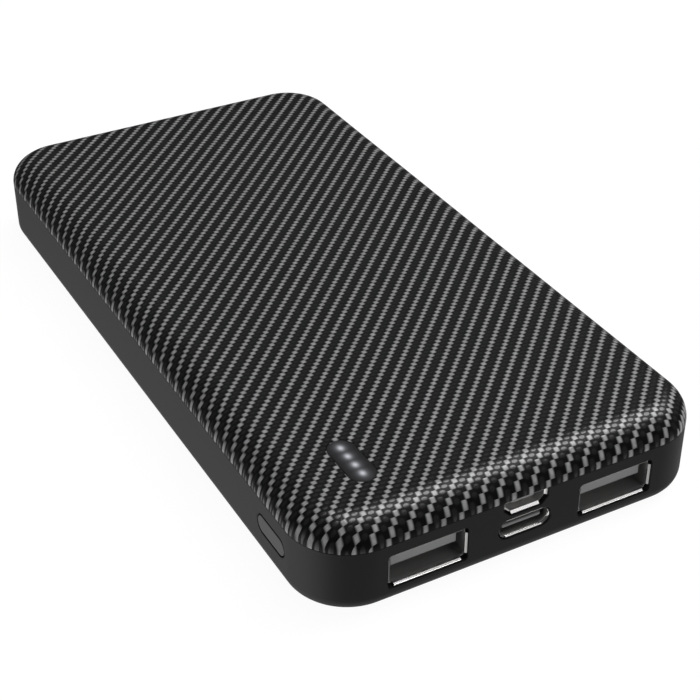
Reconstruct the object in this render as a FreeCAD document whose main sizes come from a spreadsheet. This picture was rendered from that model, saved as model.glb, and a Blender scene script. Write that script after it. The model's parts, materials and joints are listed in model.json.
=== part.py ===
import FreeCAD, Part
import math
import os
import re
import Sketcher

# A flat pocket power bank: a plastic tray and a patterned cover around a pouch cell and a circuit board.
# The board carries four sockets, four status lights under a smoked window and a side-press switch with its key.
# Frame: +Z up, origin in the middle of the underside, sockets towards -Y, key on the -X side, millimetres.

SIZES = {
    # Case
    "case_width": 68.6,
    "case_length": 134.8,
    "case_height": 15.8,
    "corner_radius": 9.9,
    "wall": 1.6,
    "cover_depth": 4.55,
    "top_rounding": 4.5,
    "bottom_rounding": 2.7,
    # Lip of the cover, inside the tray, and its snap ridges
    "lip_depth": 1.8,
    "lip_thickness": 1.0,
    "lip_clearance": 0.1,
    "lip_root": 1.2,
    "lip_socket_gap": 1.0,
    "weld_bite": 0.2,
    "snap_length": 6.0,
    "snap_height": 0.8,
    "snap_reach": 0.5,
    "snap_clearance": 0.15,
    "snap_from_front": 35.0,
    "snap_from_corner": 8.0,
    # Circuit board and the posts it stands on
    "board_thickness": 1.0,
    "board_depth": 19.3,
    "board_front_gap": 0.6,
    "board_side_gap": 1.6,
    "board_chamfer": 6.5,
    "board_cutout_gap": 0.2,
    "post_radius": 1.9,
    "post_from_switch": 0.3,
    "front_post_from_wall": 4.7,
    "post_from_board_end": 2.3,
    "front_post_from_front": 5.2,
    "screw_radius": 0.75,
    "screw_fit": 0.03,
    "screw_hole_gap": 0.35,
    "screw_depth": 4.5,
    "screw_head_radius": 1.5,
    "screw_head_height": 1.0,
    "screw_slot": 0.35,
    "rib_thickness": 0.8,
    "rib_height": 4.0,
    "rib_gap": 0.6,
    # Sockets
    "socket_recess": 0.2,
    "socket_clearance": 0.15,
    "socket_sheet": 0.3,
    "socket_base_depth": 1.8,
    "insulator_fit": 0.05,
    "usb_a_width": 13.1,
    "usb_a_height": 5.7,
    "usb_a_depth": 10.0,
    "usb_a_corner": 0.7,
    "usb_a_spacing": 32.8,
    "usb_a_drop": 1.4,
    "usb_a_tongue_side_gap": 0.7,
    "usb_a_tongue_thickness": 1.84,
    "usb_a_tongue_gap": 2.2,
    "usb_a_tongue_recess": 1.6,
    "usb_c_width": 8.94,
    "usb_c_height": 3.2,
    "usb_c_depth": 7.3,
    "usb_c_tongue_side_gap": 0.825,
    "usb_c_tongue_thickness": 0.7,
    "usb_c_tongue_recess": 0.9,
    "micro_width": 7.5,
    "micro_height": 2.45,
    "micro_depth": 5.6,
    "micro_base_width": 5.1,
    "micro_side_height": 1.25,
    "micro_rounding": 0.35,
    "micro_sheet": 0.25,
    "micro_drop": 0.2,
    "micro_tongue_side_gap": 1.55,
    "micro_tongue_thickness": 0.6,
    "micro_tongue_gap": 0.35,
    "micro_tongue_recess": 0.9,
    "contact_thickness": 0.12,
    "contact_gap": 0.3,
    "micro_contact_gap": 0.2,
    # Key and switch
    "key_length": 8.5,
    "key_height": 3.1,
    "key_gap": 0.15,
    "key_rounding": 0.2,
    "key_from_corner": 0.55,
    "key_rest_gap": 0.1,
    "key_flange": 0.7,
    "key_flange_thickness": 0.8,
    "key_stem_length": 3.0,
    "key_stem_height": 1.0,
    "switch_length": 4.2,
    "switch_width": 3.2,
    "switch_height": 1.54,
    "switch_inset": 0.9,
    "plunger_length": 1.8,
    "plunger_height": 0.8,
    "plunger_reach": 0.8,
    "plunger_depth": 0.6,
    "plunger_gap": 0.1,
    "press_travel": 0.3,
    # Status window and lights
    "window_length": 10.4,
    "window_width": 4.4,
    "window_gap": 0.04,
    "window_flange": 0.8,
    "window_flange_thickness": 0.6,
    "window_from_side": 13.16,
    "window_from_front": 14.37,
    "light_pitch": 2.21,
    "light_length": 1.6,
    "light_width": 0.8,
    "light_height": 0.5,
    "shield_margin": 0.3,
    "shield_hole_radius": 0.75,
    "shield_gap": 0.65,
    # Pouch cell and what holds it
    "cell_board_gap": 2.7,
    "cell_end_gap": 4.3,
    "cell_side_gap": 1.6,
    "cell_rounding": 1.8,
    "seal_depth": 1.6,
    "seal_height": 5.0,
    "seal_margin": 2.5,
    "adhesive_thickness": 0.3,
    "foam_thickness": 0.6,
    "pad_margin": 10.0,
    "tab_width": 6.0,
    "tab_thickness": 0.15,
    "tab_spacing": 26.0,
    "tab_overlap": 1.2,
    "tape_width": 6.0,
    "tape_length": 40.0,
    "tape_thickness": 0.08,
    "tape_from_front": 2.5,
    "sensor_radius": 0.9,
    "sensor_length": 2.4,
    "sensor_gap": 0.2,
    "sensor_lead_radius": 0.2,
    "sensor_lead_pitch": 0.9,
    "sensor_lead_overlap": 1.6,
    # Components on the board
    "parts_shift": 0.3,
    "inductor_side": 7.8,
    "inductor_height": 4.0,
    "inductor_corner": 1.6,
    "chip_side": 5.0,
    "chip_height": 0.9,
    "transistor_side": 3.3,
    "transistor_height": 0.85,
    "transistor_pitch": 4.4,
    "capacitor_length": 3.2,
    "capacitor_width": 1.6,
    "capacitor_pitch": 2.3,
    "component_gap": 1.5,
    "resistor_length": 1.6,
    "resistor_width": 0.8,
    "resistor_height": 0.45,
    "resistor_pitch": 1.6,
}

PLACES = {
    "half_width": "case_width / 2",
    "half_length": "case_length / 2",
    "seam": "case_height - cover_depth",
    "ceiling": "case_height - wall",
    "lip_inset": "wall + lip_clearance",
    "lip_inner_inset": "wall + lip_clearance + lip_thickness",
    "lip_foot": "seam - lip_depth",
    "snap_top": "lip_foot + snap_height + 2 * snap_clearance",
    "snap_first": "-half_length + snap_from_front",
    "snap_last": "half_length - corner_radius - snap_from_corner",
    "board_bottom": "seam - micro_drop - micro_height - board_thickness",
    "board_top": "board_bottom + board_thickness",
    "board_half_width": "half_width - wall - board_side_gap",
    "board_front": "-half_length + wall + board_front_gap",
    "board_back": "board_front + board_depth",
    "post_x": "board_half_width - switch_inset - switch_width - post_from_switch - post_radius",
    "front_post_x": "half_width - wall - front_post_from_wall",
    "post_y": "board_back - post_from_board_end",
    "front_post_y": "board_front + front_post_from_front",
    "socket_front": "-half_length + socket_recess",
    "usb_a_x": "usb_a_spacing / 2",
    "usb_a_z": "board_bottom - usb_a_drop",
    "usb_a_back": "socket_front + usb_a_depth",
    "usb_a_tongue_z": "usb_a_z - usb_a_height / 2 + socket_sheet + usb_a_tongue_gap + usb_a_tongue_thickness / 2",
    "usb_a_tongue_y": "-half_length + usb_a_tongue_recess",
    "usb_a_tongue_width": "usb_a_width - 2 * socket_sheet - 2 * usb_a_tongue_side_gap",
    "usb_c_z": "board_bottom - usb_c_height / 2",
    "usb_c_tongue_y": "-half_length + usb_c_tongue_recess",
    "usb_c_tongue_width": "usb_c_width - 2 * socket_sheet - 2 * usb_c_tongue_side_gap",
    "micro_top": "board_top + micro_height",
    "micro_tongue_z": "micro_top - micro_sheet - micro_tongue_gap - micro_tongue_thickness / 2",
    "micro_tongue_y": "-half_length + micro_tongue_recess",
    "micro_tongue_width": "micro_width - 2 * micro_sheet - 2 * micro_tongue_side_gap",
    "key_y": "-half_length + corner_radius + key_from_corner + key_length / 2",
    "key_z": "board_bottom - switch_height / 2",
    "flange_front": "-half_width + wall + key_rest_gap",
    "flange_back": "flange_front + key_flange_thickness",
    "switch_front": "-board_half_width + switch_inset",
    "plunger_front": "switch_front - plunger_reach",
    "window_x": "-half_width + window_from_side",
    "window_y": "-half_length + window_from_front",
    "flange_bottom": "ceiling - window_flange_thickness",
    "cell_front": "board_back + cell_board_gap",
    "cell_back": "half_length - wall - cell_end_gap",
    "cell_middle": "(cell_front + cell_back) / 2",
    "cell_length": "cell_back - cell_front",
    "cell_half_width": "half_width - lip_inner_inset - cell_side_gap",
    "cell_bottom": "wall + adhesive_thickness",
    "cell_top": "ceiling - foam_thickness",
    "parts_y": "(board_back + usb_a_back) / 2 + parts_shift",
    "inductor_x": "usb_a_x / 2",
    "controller_x": "-usb_a_x / 3",
    "resistor_x": "-usb_a_x + usb_a_width / 8",
}

TOLERANCE = 0.001
POCKET_OVERSHOOT = "1.0"
# A pocket through a wall starts outside it by the overshoot, and is this much longer than the wall
THROUGH_EXTRA = "1.5"
# How far the lower corners of the micro socket's slanted sides move, across and down, for 1 mm of growth
MICRO_SLANT_ACROSS = 0.6
MICRO_SLANT_DOWN = 0.4
USB_A_PINS = (-3.5, -1.0, 1.0, 3.5)
USB_A_PIN_WIDTH = 1.0
USB_C_PINS = 12
USB_C_PIN_PITCH = 0.5
USB_C_PIN_WIDTH = 0.25
MICRO_PINS = 5
MICRO_PIN_PITCH = 0.65
MICRO_PIN_WIDTH = 0.35
LIGHTS = 4
SNAPS = 3
TRANSISTORS = 2
CAPACITORS = 4
RESISTORS = 5

doc = FreeCAD.newDocument("power_bank")
nodes = []


# Sizes and formulas

def fill_sheet(name, cells, convert):
    """A spreadsheet with one named cell for each entry."""
    sheet = doc.addObject("Spreadsheet::Sheet", name)
    for row, (alias, entry) in enumerate(cells.items(), 1):
        sheet.set(f"A{row}", alias)
        sheet.set(f"B{row}", convert(entry))
        sheet.setAlias(f"B{row}", alias)
    return sheet


def formula(text):
    """The text with each size's name led by its own sheet's name."""
    def with_sheet(match):
        word = match[0]
        if word in SIZES:
            return f"dims.{word}"
        return f"places.{word}" if word in PLACES else word
    return re.sub(r"[a-z]\w*", with_sheet, str(text))


dims = fill_sheet("dims", SIZES, str)
places = fill_sheet("places", PLACES, lambda entry: "=" + formula(entry))
doc.recompute()


def value(text):
    """The number that a formula gives."""
    return float(places.evalExpression(formula(text)))


def tie(item, size, text):
    """Binds one property of an object to a formula."""
    item.setExpression(size, formula(text))


def signed(sign, text):
    """The formula, negated where the sign is."""
    return f"({text})" if sign > 0 else f"-({text})"


def node(item, label):
    """Names a finished sub-part and keeps it for export."""
    item.Label = label
    nodes.append(item)
    return item


# Sketches

def new_sketch(body, plane, offset="0"):
    """A sketch on one of the body's origin planes, moved along the plane's normal."""
    sketch = body.newObject("Sketcher::SketchObject", f"{body.Name}_sketch")
    support = [item for item in body.Origin.OriginFeatures if item.Role == plane]
    sketch.AttachmentSupport = [(support[0], "")]
    sketch.MapMode = "FlatFace"
    tie(sketch, "AttachmentOffset.Base.z", offset)
    return sketch


def hold(sketch, kind, text, *points):
    """A dimension of the sketch, bound to a formula."""
    index = sketch.addConstraint(Sketcher.Constraint(kind, *points, value(text)))
    tie(sketch, f"Constraints[{index}]", text)


def pin(sketch, geometry, point, x, y):
    """Holds one point of the sketch at x, y."""
    hold(sketch, "DistanceX", x, -1, 1, geometry, point)
    hold(sketch, "DistanceY", y, -1, 1, geometry, point)


def circle(sketch, x, y, radius):
    """A circle with its centre at x, y."""
    centre = FreeCAD.Vector(value(x), value(y), 0)
    geometry = sketch.addGeometry(Part.Circle(centre, FreeCAD.Vector(0, 0, 1), value(radius)))
    pin(sketch, geometry, 3, x, y)
    hold(sketch, "Radius", radius, geometry)


def polygon(sketch, corners):
    """A closed outline of straight lines through the corners."""
    points = [FreeCAD.Vector(value(x), value(y), 0) for x, y in corners]
    ends = points[1:] + points[:1]
    lines = [sketch.addGeometry(Part.LineSegment(*pair)) for pair in zip(points, ends)]
    for line, follower, (x, y) in zip(lines, lines[1:] + lines[:1], corners):
        pin(sketch, line, 1, x, y)
        sketch.addConstraint(Sketcher.Constraint("Coincident", line, 2, follower, 1))


def rectangle(sketch, x, y, width, height):
    """A rectangle about x, y."""
    left = f"{x} - ({width}) / 2"
    right = f"{x} + ({width}) / 2"
    low = f"{y} - ({height}) / 2"
    high = f"{y} + ({height}) / 2"
    polygon(sketch, [(left, low), (right, low), (right, high), (left, high)])


def arc_loop(sketch, centres, radius, turn, start):
    """A closed outline of equal arcs, each turning by the same angle, joined by tangent lines."""
    arcs = []
    for index, (x, y) in enumerate(centres):
        round_end = Part.Circle(FreeCAD.Vector(value(x), value(y), 0), FreeCAD.Vector(0, 0, 1), value(radius))
        first = start + index * turn
        arc = Part.ArcOfCircle(round_end, math.radians(first), math.radians(first + turn))
        arcs.append((sketch.addGeometry(arc), arc))
        pin(sketch, arcs[-1][0], 3, x, y)
        hold(sketch, "Radius", radius, arcs[-1][0])
    for (arc, shape), (follower, next_shape) in zip(arcs, arcs[1:] + arcs[:1]):
        line = sketch.addGeometry(Part.LineSegment(shape.EndPoint, next_shape.StartPoint))
        sketch.addConstraint(Sketcher.Constraint("Tangent", arc, 2, line, 1))
        sketch.addConstraint(Sketcher.Constraint("Tangent", line, 2, follower, 1))


def rounded_rectangle(sketch, x, y, width, height, radius):
    """A rectangle about x, y with rounded corners."""
    across = f"(({width}) / 2 - ({radius}))"
    along = f"(({height}) / 2 - ({radius}))"
    centres = [(f"{x} + {across}", f"{y} + {along}"), (f"{x} - {across}", f"{y} + {along}"),
               (f"{x} - {across}", f"{y} - {along}"), (f"{x} + {across}", f"{y} - {along}")]
    arc_loop(sketch, centres, radius, 90, 0)


def slot(sketch, x, y, length, width, upright=False):
    """An outline with two round ends about x, y, long in x, or in y where upright."""
    reach = f"(({length}) - ({width})) / 2"
    if upright:
        arc_loop(sketch, [(x, f"{y} + {reach}"), (x, f"{y} - {reach}")], f"({width}) / 2", 180, 0)
    else:
        arc_loop(sketch, [(f"{x} + {reach}", y), (f"{x} - {reach}", y)], f"({width}) / 2", 180, -90)


def case_outline(sketch, inset):
    """The case's plan, moved in by the inset."""
    rounded_rectangle(sketch, "0", "0", f"case_width - 2 * ({inset})", f"case_length - 2 * ({inset})",
                      f"corner_radius - ({inset})")


# Features

def pad(body, sketch, length, reverse=False):
    """Raises the sketch along its normal, or against it."""
    feature = body.newObject("PartDesign::Pad", f"{body.Name}_pad")
    feature.Profile = sketch
    feature.Reversed = reverse
    tie(feature, "Length", length)
    doc.recompute()
    return feature


def pocket(body, sketch, length, reverse=False):
    """Cuts the sketch out against its normal, or along it, and makes sure that it cut."""
    before = body.Shape.Volume
    feature = body.newObject("PartDesign::Pocket", f"{body.Name}_pocket")
    feature.Profile = sketch
    feature.Reversed = reverse
    tie(feature, "Length", length)
    doc.recompute()
    if body.Shape.Volume > before - TOLERANCE:
        raise ValueError(f"{body.Label}: a pocket cuts nothing")
    return feature


def edges_at(feature, axis, level):
    """The names of the feature's edges that lie in the plane where the axis has this level."""
    names = []
    for index, edge in enumerate(feature.Shape.Edges, 1):
        box = edge.BoundBox
        low, high = getattr(box, f"{axis}Min"), getattr(box, f"{axis}Max")
        if abs(low - level) < TOLERANCE and abs(high - level) < TOLERANCE:
            names.append(f"Edge{index}")
    return names


def edges_along_y(feature, z_low, z_high):
    """The names of the feature's straight edges along Y whose height is in the range."""
    names = []
    for index, edge in enumerate(feature.Shape.Edges, 1):
        box = edge.BoundBox
        straight = box.XLength < TOLERANCE and box.ZLength < TOLERANCE
        if straight and z_low - TOLERANCE < box.ZMin < z_high + TOLERANCE:
            names.append(f"Edge{index}")
    return names


def round_edges(body, feature, names, radius):
    """Rounds the named edges of the body's last feature."""
    fillet = body.newObject("PartDesign::Fillet", f"{body.Name}_fillet")
    fillet.Base = (feature, names)
    tie(fillet, "Radius", radius)
    doc.recompute()
    return fillet


def hollow(body, feature, level):
    """Leaves a wall's thickness of the body, open at the flat face of this height."""
    names = [f"Face{index}" for index, face in enumerate(feature.Shape.Faces, 1)
             if abs(face.BoundBox.ZMin - level) < TOLERANCE and abs(face.BoundBox.ZMax - level) < TOLERANCE]
    shell = body.newObject("PartDesign::Thickness", f"{body.Name}_shell")
    shell.Base = (feature, names)
    shell.Reversed = True
    shell.Join = "Arc"
    tie(shell, "Value", "wall")
    doc.recompute()
    return shell


def new_body(label):
    """An empty body for one sub-part."""
    return node(doc.addObject("PartDesign::Body", label), label)


def block(name, low, size):
    """A box from its lowest corner and its sizes."""
    box = doc.addObject("Part::Box", name)
    for side, text in zip(("Length", "Width", "Height"), size):
        tie(box, side, text)
    for axis, text in zip("xyz", low):
        tie(box, f"Placement.Base.{axis}", text)
    return box


def centred_block(name, x, y, bottom, size):
    """A box about x, y that stands on the given height."""
    return block(name, (f"{x} - ({size[0]}) / 2", f"{y} - ({size[1]}) / 2", bottom), size)


def rod(name, place, radius, length, axis=(0, 0, 1), turn=0):
    """A cylinder from the centre of its lower end."""
    cylinder = doc.addObject("Part::Cylinder", name)
    cylinder.Placement = FreeCAD.Placement(FreeCAD.Vector(), FreeCAD.Rotation(FreeCAD.Vector(*axis), turn))
    tie(cylinder, "Radius", radius)
    tie(cylinder, "Height", length)
    for letter, text in zip("xyz", place):
        tie(cylinder, f"Placement.Base.{letter}", text)
    return cylinder


def cut(name, base, tool):
    """The base less the tool."""
    result = doc.addObject("Part::Cut", name)
    result.Base = base
    result.Tool = tool
    return result


def fuse(name, shapes):
    """The shapes as one solid."""
    result = doc.addObject("Part::MultiFuse", name)
    result.Shapes = shapes
    return result


def group(label, members):
    """Separate equal pieces that share one node."""
    result = doc.addObject("Part::Compound", label)
    result.Links = members
    return node(result, label)


# Case

def snap_centres():
    """The middles of the snap ridges along the case."""
    gaps = SNAPS - 1
    return [f"snap_first + (snap_last - snap_first) * {index} / {gaps}" for index in range(SNAPS)]


def snap_rectangles(sketch, reach, length):
    """One rectangle for each snap on both long sides, from inside the lip outwards by the reach."""
    for sign in (-1, 1):
        middle = signed(sign, f"half_width - lip_inset - weld_bite / 2 + ({reach}) / 2")
        for y in snap_centres():
            rectangle(sketch, middle, y, f"({reach}) + weld_bite", length)


def micro_outline(sketch, grow, top):
    """The micro socket's section, wide above and narrow below, moved out by the growth."""
    half = f"(micro_width / 2 + ({grow}))"
    base = f"(micro_base_width / 2 + {MICRO_SLANT_ACROSS} * ({grow}))"
    side = f"micro_top - micro_side_height - {MICRO_SLANT_DOWN} * ({grow})"
    low = f"board_top - ({grow})"
    polygon(sketch, [(f"-{base}", low), (base, low), (half, side), (half, top), (f"-{half}", top),
                     (f"-{half}", side)])


def bottom_shell():
    """The tray: walls, floor, socket openings, key opening, board posts, snap recesses and the divider rib."""
    body = new_body("bottom_shell")
    outline = new_sketch(body, "XY_Plane")
    case_outline(outline, "0")
    tray = pad(body, outline, "seam")
    tray = round_edges(body, tray, edges_at(tray, "Z", 0), "bottom_rounding")
    hollow(body, tray, value("seam"))

    posts = new_sketch(body, "XY_Plane", "wall - weld_bite")
    for sign in (-1, 1):
        circle(posts, signed(sign, "post_x"), "post_y", "post_radius")
        circle(posts, signed(sign, "front_post_x"), "front_post_y", "post_radius")
    pad(body, posts, "board_bottom - wall + weld_bite")
    rib = new_sketch(body, "XY_Plane", "wall - weld_bite")
    rectangle(rib, "0", "cell_front - seal_depth - rib_gap - rib_thickness / 2", "2 * cell_half_width",
              "rib_thickness")
    pad(body, rib, "rib_height + weld_bite")

    pilots = new_sketch(body, "XY_Plane", "board_bottom")
    for sign in (-1, 1):
        circle(pilots, signed(sign, "post_x"), "post_y", "screw_radius + screw_fit")
    pocket(body, pilots, "screw_depth")
    recesses = new_sketch(body, "XY_Plane", "snap_top")
    snap_rectangles(recesses, "snap_reach + snap_clearance", "snap_length + 2 * snap_clearance")
    pocket(body, recesses, "snap_height + 2 * snap_clearance")

    openings = new_sketch(body, "XZ_Plane", f"half_length + {POCKET_OVERSHOOT}")
    for sign in (-1, 1):
        rounded_rectangle(openings, signed(sign, "usb_a_x"), "usb_a_z", "usb_a_width + 2 * socket_clearance",
                          "usb_a_height + 2 * socket_clearance", "usb_a_corner")
    slot(openings, "0", "usb_c_z", "usb_c_width + 2 * socket_clearance", "usb_c_height + 2 * socket_clearance")
    micro_outline(openings, "socket_clearance", f"seam + {POCKET_OVERSHOOT}")
    pocket(body, openings, f"wall + {THROUGH_EXTRA}")

    key_hole = new_sketch(body, "YZ_Plane", f"-half_width - {POCKET_OVERSHOOT}")
    slot(key_hole, "key_y", "key_z", "key_length + 2 * key_gap", "key_height + 2 * key_gap")
    pocket(body, key_hole, f"wall + {THROUGH_EXTRA}", reverse=True)


def top_cover():
    """The cover: rounded shell, lip with snap ridges and the status window's slot."""
    body = new_body("top_cover")
    outline = new_sketch(body, "XY_Plane", "seam")
    case_outline(outline, "0")
    cover = pad(body, outline, "cover_depth")
    cover = round_edges(body, cover, edges_at(cover, "Z", value("case_height")), "top_rounding")
    hollow(body, cover, value("seam"))

    root = new_sketch(body, "XY_Plane", "seam")
    case_outline(root, "wall - weld_bite")
    case_outline(root, "lip_inner_inset")
    pad(body, root, "lip_root")
    lip = new_sketch(body, "XY_Plane", "lip_foot")
    case_outline(lip, "lip_inset")
    case_outline(lip, "lip_inner_inset")
    pad(body, lip, "lip_depth + lip_root")
    ridges = new_sketch(body, "XY_Plane", "lip_foot + snap_clearance")
    snap_rectangles(ridges, "snap_reach", "snap_length")
    pad(body, ridges, "snap_height")

    lip_gap = new_sketch(body, "XY_Plane", "seam")
    rectangle(lip_gap, "0", "-half_length + lip_inset + lip_thickness / 2",
              "micro_width + 2 * lip_socket_gap", "lip_thickness + 2 * lip_clearance")
    pocket(body, lip_gap, "lip_depth + lip_clearance")
    window = new_sketch(body, "XY_Plane", f"case_height + {POCKET_OVERSHOOT}")
    slot(window, "window_x", "window_y", "window_length + 2 * window_gap", "window_width + 2 * window_gap", True)
    pocket(body, window, f"wall + {THROUGH_EXTRA}")


def status_window():
    """The smoked pill that is flush with the cover, with a flange under it."""
    body = new_body("status_window")
    flange = new_sketch(body, "XY_Plane", "flange_bottom")
    slot(flange, "window_x", "window_y", "window_length + 2 * window_flange", "window_width + 2 * window_flange",
         True)
    pad(body, flange, "window_flange_thickness")
    pill = new_sketch(body, "XY_Plane", "ceiling")
    slot(pill, "window_x", "window_y", "window_length", "window_width", True)
    pad(body, pill, "wall")


def light_shield():
    """The dark foam under the window, with one well over each light."""
    body = new_body("light_shield")
    outline = new_sketch(body, "XY_Plane", "board_top + shield_gap")
    slot(outline, "window_x", "window_y", "window_length - 2 * shield_margin", "window_width - 2 * shield_margin",
         True)
    for y in light_centres():
        circle(outline, "window_x", y, "shield_hole_radius")
    pad(body, outline, "flange_bottom - board_top - shield_gap")


# Key and switch

def power_button():
    """The press key, with a flange behind the wall and a stem to the switch."""
    body = new_body("power_button")
    face = new_sketch(body, "YZ_Plane", "-half_width")
    slot(face, "key_y", "key_z", "key_length", "key_height")
    key = pad(body, face, "wall + key_rest_gap")
    round_edges(body, key, edges_at(key, "X", value("-half_width")), "key_rounding")
    flange = new_sketch(body, "YZ_Plane", "flange_front")
    slot(flange, "key_y", "key_z", "key_length + 2 * key_flange", "key_height + 2 * key_flange")
    pad(body, flange, "key_flange_thickness")
    stem = new_sketch(body, "YZ_Plane", "flange_back")
    rectangle(stem, "key_y", "key_z", "key_stem_length", "key_stem_height")
    pad(body, stem, "plunger_front - plunger_gap - flange_back")


def tact_switch():
    """The switch under the board's edge, with a well for its plunger."""
    outer = block("switch_block", ("switch_front", "key_y - switch_length / 2", "key_z - switch_height / 2"),
                  ("switch_width", "switch_length", "switch_height"))
    well = block("switch_well", (f"switch_front - {POCKET_OVERSHOOT}",
                                 "key_y - plunger_length / 2 - plunger_gap",
                                 "key_z - plunger_height / 2 - plunger_gap"),
                 (f"{POCKET_OVERSHOOT} + plunger_depth + press_travel + plunger_gap",
                  "plunger_length + 2 * plunger_gap", "plunger_height + 2 * plunger_gap"))
    node(cut("switch_body", outer, well), "tact_switch_body")
    plunger = block("switch_plunger", ("plunger_front", "key_y - plunger_length / 2", "key_z - plunger_height / 2"),
                    ("plunger_reach + plunger_depth", "plunger_length", "plunger_height"))
    node(plunger, "tact_switch_plunger")


# Board

def circuit_board():
    """The board, with the two deep cut-outs that the large sockets sit in and two screw holes."""
    body = new_body("circuit_board")
    outline = new_sketch(body, "XY_Plane", "board_bottom")
    side, front, back = "board_half_width", "board_front", "board_back"
    polygon(outline, [(f"-{side}", back), (f"-{side}", f"{front} + board_chamfer"),
                      (f"-{side} + board_chamfer", front), (f"{side} - board_chamfer", front),
                      (side, f"{front} + board_chamfer"), (side, back)])
    pad(body, outline, "board_thickness")
    cuts = new_sketch(body, "XY_Plane", "board_top")
    for sign in (-1, 1):
        circle(cuts, signed(sign, "post_x"), "post_y", "screw_radius + screw_hole_gap")
        rectangle(cuts, signed(sign, "usb_a_x"),
                  f"(board_front - {POCKET_OVERSHOOT} + usb_a_back + board_cutout_gap) / 2",
                  "usb_a_width + 2 * board_cutout_gap",
                  f"usb_a_back + board_cutout_gap - board_front + {POCKET_OVERSHOOT}")
    pocket(body, cuts, "board_thickness")


def board_screws():
    """Two pan-head screws with cross slots that hold the board on the posts."""
    screws = []
    for side, sign in (("left", -1), ("right", 1)):
        x = signed(sign, "post_x")
        head = rod(f"screw_head_{side}", (x, "post_y", "board_top"), "screw_head_radius", "screw_head_height")
        shank_length = "screw_depth + board_thickness - screw_hole_gap"
        shank = rod(f"screw_shank_{side}", (x, "post_y", f"board_top - ({shank_length})"), "screw_radius",
                    shank_length)
        blank = fuse(f"screw_blank_{side}", [head, shank])
        deep = "board_top + screw_head_height - screw_slot"
        bars = [centred_block(f"screw_slot_{side}_{name}", x, "post_y", deep, size) for name, size in (
            ("x", ("screw_head_radius", "screw_slot", "2 * screw_slot")),
            ("y", ("screw_slot", "screw_head_radius", "2 * screw_slot")))]
        screws.append(cut(f"screw_{side}", blank, fuse(f"screw_cross_{side}", bars)))
    group("board_screws", screws)


def light_centres():
    """The middles of the lights along the case."""
    middle = (LIGHTS - 1) / 2
    return [f"window_y + light_pitch * {middle - index}" for index in range(LIGHTS)]


def board_components():
    """What is soldered on the board between the sockets and the cell."""
    group("status_lights", [
        centred_block(f"light_{index}", "window_x", y, "board_top", ("light_length", "light_width", "light_height"))
        for index, y in enumerate(light_centres(), 1)])
    inductor = new_body("power_inductor")
    plan = new_sketch(inductor, "XY_Plane", "board_top")
    rounded_rectangle(plan, "inductor_x", "parts_y", "inductor_side", "inductor_side", "inductor_corner")
    pad(inductor, plan, "inductor_height")
    node(centred_block("controller", "controller_x", "parts_y", "board_top",
                       ("chip_side", "chip_side", "chip_height")), "controller_chip")
    group("switching_transistors", [
        centred_block(f"transistor_{index}", "usb_a_x",
                      f"parts_y + transistor_pitch * {index - (TRANSISTORS - 1) / 2}", "board_top",
                      ("transistor_side", "transistor_side", "transistor_height"))
        for index in range(TRANSISTORS)])
    group("ceramic_capacitors", [
        centred_block(f"capacitor_{index}", "usb_a_x + (transistor_side + capacitor_length) / 2 + component_gap",
                      f"parts_y + capacitor_pitch * {index - (CAPACITORS - 1) / 2}", "board_top",
                      ("capacitor_length", "capacitor_width", "capacitor_width"))
        for index in range(CAPACITORS)])
    group("chip_resistors", [
        centred_block(f"resistor_{index}", "resistor_x",
                      f"parts_y + resistor_pitch * {index - (RESISTORS - 1) / 2}", "board_top",
                      ("resistor_length", "resistor_width", "resistor_height"))
        for index in range(RESISTORS)])


# Sockets

def socket_shell(label, section, depth, sheet, rounding=None):
    """A sheet-metal can that is open at the front, with the section that section(sketch, grow) draws."""
    body = new_body(label)
    outer = new_sketch(body, "XZ_Plane", "-socket_front")
    section(outer, "0")
    can = pad(body, outer, depth, reverse=True)
    if rounding:
        round_edges(body, can, edges_along_y(can, value("board_top"), value("micro_top")), rounding)
    inner = new_sketch(body, "XZ_Plane", "-socket_front")
    section(inner, f"-{sheet}")
    pocket(body, inner, f"{depth} - {sheet}")


def socket_insulator(label, section, depth, sheet, tongue, tongue_front):
    """The moulded block at the back of a socket and its tongue, given as x, z, width and thickness."""
    body = new_body(label)
    base = new_sketch(body, "XZ_Plane", f"-(socket_front + {depth} - {sheet} - socket_base_depth)")
    section(base, f"-({sheet} + insulator_fit)")
    pad(body, base, "socket_base_depth", reverse=True)
    blade = new_sketch(body, "XZ_Plane", f"-({tongue_front})")
    rectangle(blade, *tongue)
    pad(body, blade, f"socket_front + {depth} - {sheet} - socket_base_depth / 2 - ({tongue_front})", reverse=True)


def usb_a_socket(side, sign):
    """One large socket: can, insulator with its tongue, and four contacts under the tongue."""
    x = signed(sign, "usb_a_x")

    def section(sketch, grow):
        rounded_rectangle(sketch, x, "usb_a_z", f"usb_a_width + 2 * ({grow})", f"usb_a_height + 2 * ({grow})",
                          f"usb_a_corner + ({grow})")

    socket_shell(f"usb_a_shell_{side}", section, "usb_a_depth", "socket_sheet")
    socket_insulator(f"usb_a_tongue_{side}", section, "usb_a_depth", "socket_sheet",
                     (x, "usb_a_tongue_z", "usb_a_tongue_width", "usb_a_tongue_thickness"), "usb_a_tongue_y")
    contact_size = (USB_A_PIN_WIDTH, "usb_a_back - socket_sheet - socket_base_depth - usb_a_tongue_y - 2 * contact_gap",
                    "contact_thickness")
    bottom = "usb_a_tongue_z - usb_a_tongue_thickness / 2 - contact_thickness"
    group(f"usb_a_contacts_{side}", [
        block(f"usb_a_pin_{side}_{index}", (f"{x} + {offset} - {USB_A_PIN_WIDTH / 2}", "usb_a_tongue_y + contact_gap",
                                            bottom), contact_size)
        for index, offset in enumerate(USB_A_PINS)])


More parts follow.
